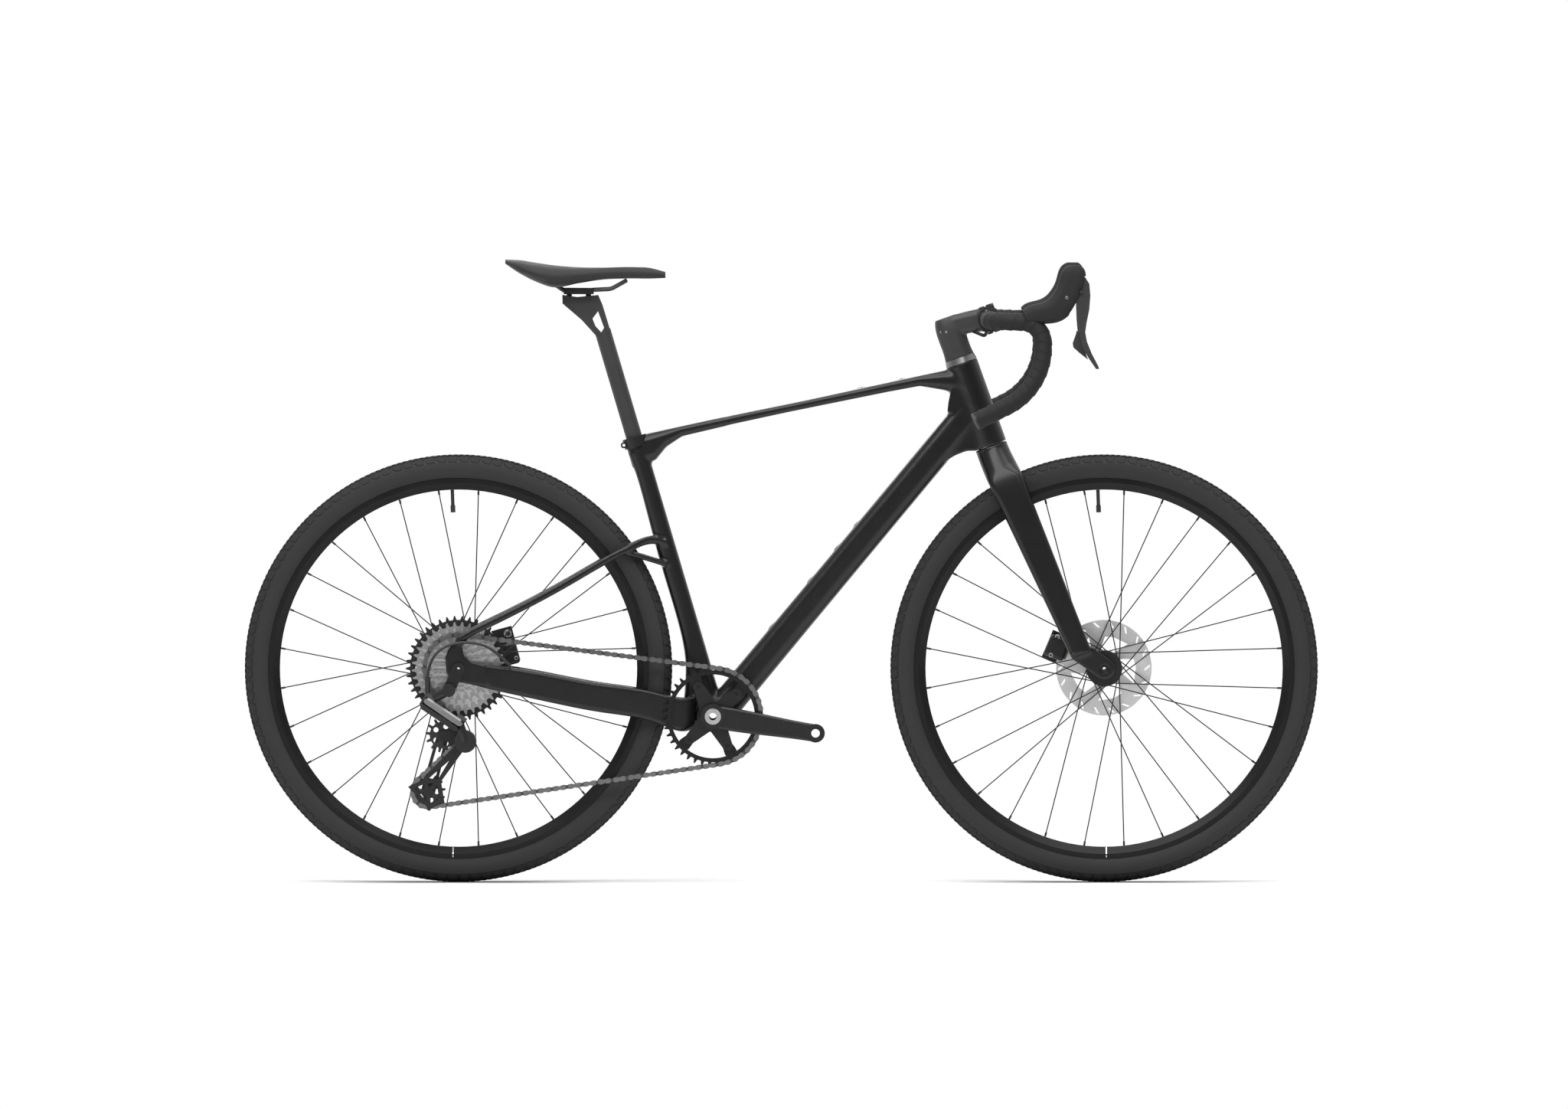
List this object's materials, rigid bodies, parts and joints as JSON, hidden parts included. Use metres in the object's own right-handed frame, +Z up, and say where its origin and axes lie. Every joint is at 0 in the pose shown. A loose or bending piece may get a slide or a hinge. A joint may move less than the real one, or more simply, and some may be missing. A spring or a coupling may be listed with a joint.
{
  "type": "gravel bicycle",
  "caption": "Drop-bar gravel bicycle with disc brakes, a single chainring, a rear derailleur, spoked wheels and a carbon frame, ready for pedals.",
  "frame": {"origin": "on the ground, midway between the two axles, in the middle plane of the frame", "axes": "+X forward, +Y to the rider's left, +Z up"},
  "size_m": [1.7969, 0.5316, 1.0426],
  "materials": {
    "carbon": "satin",
    "rubber_tyre": "matte",
    "black_alloy": "satin",
    "silver_alloy": "satin",
    "steel": "brushed",
    "black_rubber": "matte",
    "black_plastic": "matte",
    "saddle_cover": "matte",
    "pad": "matte",
    "tape": "matte"
  },
  "bodies": {
    "frame": {"frame": "carbon", "headset_bearings": "steel", "seat_clamp_collar": "black_alloy", "bottom_bracket_cups": "black_alloy", "derailleur_hanger": "black_alloy", "rear_thru_axle": "black_alloy", "rear_hub_axle": "black_alloy", "rear_caliper": "black_alloy", "derailleur_housing": "black_plastic", "chain": "steel", "derailleur_b_knuckle": "black_alloy"},
    "steering": {"fork": "carbon", "headset_cover": "black_plastic", "stem": "black_alloy", "stem_faceplate": "black_alloy", "handlebar": "black_alloy", "bar_tape": "tape", "bar_end_plugs": "black_plastic", "lever_hood_right": "black_rubber", "lever_hood_left": "black_rubber", "front_caliper": "black_alloy", "front_thru_axle": "black_alloy", "front_hub_axle": "black_alloy", "brake_hoses": "black_plastic"},
    "front_wheel": {"front_tyre": "rubber_tyre", "front_rim": "black_alloy", "front_spokes": "steel", "front_hub_shell": "black_alloy", "front_hub_bearings": "steel", "front_rotor": "steel", "front_valve": "black_plastic"},
    "rear_wheel": {"rear_tyre": "rubber_tyre", "rear_rim": "black_alloy", "rear_spokes": "steel", "rear_hub_shell": "black_alloy", "rear_hub_bearings": "steel", "rear_rotor": "steel", "rear_valve": "black_plastic"},
    "cassette": {"cassette_sprockets": "steel", "freehub_body": "black_alloy"},
    "crankset": {"crank_right": "black_alloy", "crank_left": "black_alloy", "chainring": "black_alloy"},
    "derailleur_outer_link": {"derailleur_outer_link": "black_alloy"},
    "derailleur_inner_link": {"derailleur_inner_link": "black_alloy"},
    "derailleur_p_knuckle": {"derailleur_p_knuckle": "black_alloy"},
    "derailleur_cage": {"derailleur_cage": "black_alloy"},
    "guide_pulley": {"guide_pulley": "black_plastic"},
    "tension_pulley": {"tension_pulley": "black_plastic"},
    "brake_lever_right": {"brake_lever_right": "black_alloy"},
    "shift_paddle_right": {"shift_paddle_right": "black_alloy"},
    "brake_lever_left": {"brake_lever_left": "black_alloy"},
    "seat": {"seatpost": "carbon", "rail_clamp": "black_alloy", "saddle_rails": "steel", "saddle": "saddle_cover"},
    "front_brake_pad_inner": {"front_brake_pad_inner": "pad"},
    "front_brake_pad_outer": {"front_brake_pad_outer": "pad"},
    "rear_brake_pad_inner": {"rear_brake_pad_inner": "pad"},
    "rear_brake_pad_outer": {"rear_brake_pad_outer": "pad"}
  },
  "joints": [
    {"name": "steering_turn", "type": "hinge", "parent": "frame", "child": "steering", "pos_m": [0.3506, 0, 0.731], "axis": [-0.3338, 0, 0.9426], "range_deg": [-60, 60]},
    {"name": "front_wheel_spin", "type": "hinge", "parent": "steering", "child": "front_wheel", "pos_m": [0.5405, 0, 0.358], "axis": [0, 1, 0], "continuous": true},
    {"name": "rear_wheel_spin", "type": "hinge", "parent": "frame", "child": "rear_wheel", "pos_m": [-0.5405, 0, 0.358], "axis": [0, 1, 0], "continuous": true},
    {"name": "crank_spin", "type": "hinge", "parent": "frame", "child": "crankset", "pos_m": [-0.1145, 0, 0.2785], "axis": [0, 1, 0], "continuous": true, "deforming": ["chain"]},
    {"name": "cassette_spin", "type": "hinge", "parent": "frame", "child": "cassette", "pos_m": [-0.5405, 0, 0.358], "axis": [0, 1, 0], "continuous": true},
    {"name": "derailleur_outer_link_swing", "type": "hinge", "parent": "frame", "child": "derailleur_outer_link", "pos_m": [-0.59, -0.095, 0.306], "axis": [0.4018, 0.6945, 0.5969], "range_deg": [-36, 14]},
    {"name": "derailleur_inner_link_swing", "type": "hinge", "parent": "frame", "child": "derailleur_inner_link", "pos_m": [-0.5962, -0.08349, 0.29678], "axis": [0.4018, 0.6945, 0.5969], "range_deg": [-36, 14]},
    {"name": "derailleur_knuckle_swing", "type": "hinge", "parent": "derailleur_outer_link", "child": "derailleur_p_knuckle", "pos_m": [-0.538, -0.095, 0.271], "axis": [0.4018, 0.6945, 0.5969], "range_deg": [-14, 36]},
    {"name": "derailleur_cage_swing", "type": "hinge", "parent": "derailleur_p_knuckle", "child": "derailleur_cage", "pos_m": [-0.5285, 0, 0.237], "axis": [0, 1, 0], "range_deg": [-25, 12]},
    {"name": "guide_pulley_spin", "type": "hinge", "parent": "derailleur_cage", "child": "guide_pulley", "pos_m": [-0.566, 0, 0.247], "axis": [0, 1, 0], "continuous": true},
    {"name": "tension_pulley_spin", "type": "hinge", "parent": "derailleur_cage", "child": "tension_pulley", "pos_m": [-0.59125, 0, 0.15231], "axis": [0, 1, 0], "continuous": true},
    {"name": "brake_lever_right_pull", "type": "hinge", "parent": "steering", "child": "brake_lever_right", "pos_m": [0.49999, -0.221, 0.9909], "axis": [0, 1, 0], "range_deg": [0, 16], "stiffness_Nm_per_rad": 1.5},
    {"name": "brake_lever_left_pull", "type": "hinge", "parent": "steering", "child": "brake_lever_left", "pos_m": [0.49999, 0.221, 0.9909], "axis": [0, 1, 0], "range_deg": [0, 16], "stiffness_Nm_per_rad": 1.5},
    {"name": "shift_paddle_right_press", "type": "hinge", "parent": "brake_lever_right", "child": "shift_paddle_right", "pos_m": [0.49507, -0.2117, 0.9231], "axis": [1, 0, 0], "range_deg": [0, 12], "stiffness_Nm_per_rad": 0.2},
    {"name": "front_brake_pad_inner_slide", "type": "slide", "parent": "steering", "child": "front_brake_pad_inner", "axis": [0, 1, 0], "range_m": [0, 0.00035]},
    {"name": "front_brake_pad_outer_slide", "type": "slide", "parent": "steering", "child": "front_brake_pad_outer", "axis": [0, -1, 0], "range_m": [0, 0.00035]},
    {"name": "rear_brake_pad_inner_slide", "type": "slide", "parent": "frame", "child": "rear_brake_pad_inner", "axis": [0, 1, 0], "range_m": [0, 0.00035]},
    {"name": "rear_brake_pad_outer_slide", "type": "slide", "parent": "frame", "child": "rear_brake_pad_outer", "axis": [0, -1, 0], "range_m": [0, 0.00035]},
    {"name": "seatpost_height", "type": "slide", "parent": "frame", "child": "seat", "axis": [-0.284, 0, 0.9588], "range_m": [-0.06, 0.03]}
  ],
  "couplings": [
    {"joint": "cassette_spin", "follows": "crank_spin", "ratio": 1.4286},
    {"joint": "guide_pulley_spin", "follows": "crank_spin", "ratio": -3.0769},
    {"joint": "tension_pulley_spin", "follows": "crank_spin", "ratio": 3.0769},
    {"joint": "derailleur_inner_link_swing", "follows": "derailleur_outer_link_swing", "ratio": 1},
    {"joint": "derailleur_knuckle_swing", "follows": "derailleur_outer_link_swing", "ratio": -1},
    {"joint": "front_brake_pad_inner_slide", "follows": "brake_lever_left_pull", "m_per_rad": 0.0012521},
    {"joint": "front_brake_pad_outer_slide", "follows": "brake_lever_left_pull", "m_per_rad": 0.0012521},
    {"joint": "rear_brake_pad_inner_slide", "follows": "brake_lever_right_pull", "m_per_rad": 0.0012521},
    {"joint": "rear_brake_pad_outer_slide", "follows": "brake_lever_right_pull", "m_per_rad": 0.0012521}
  ]
}
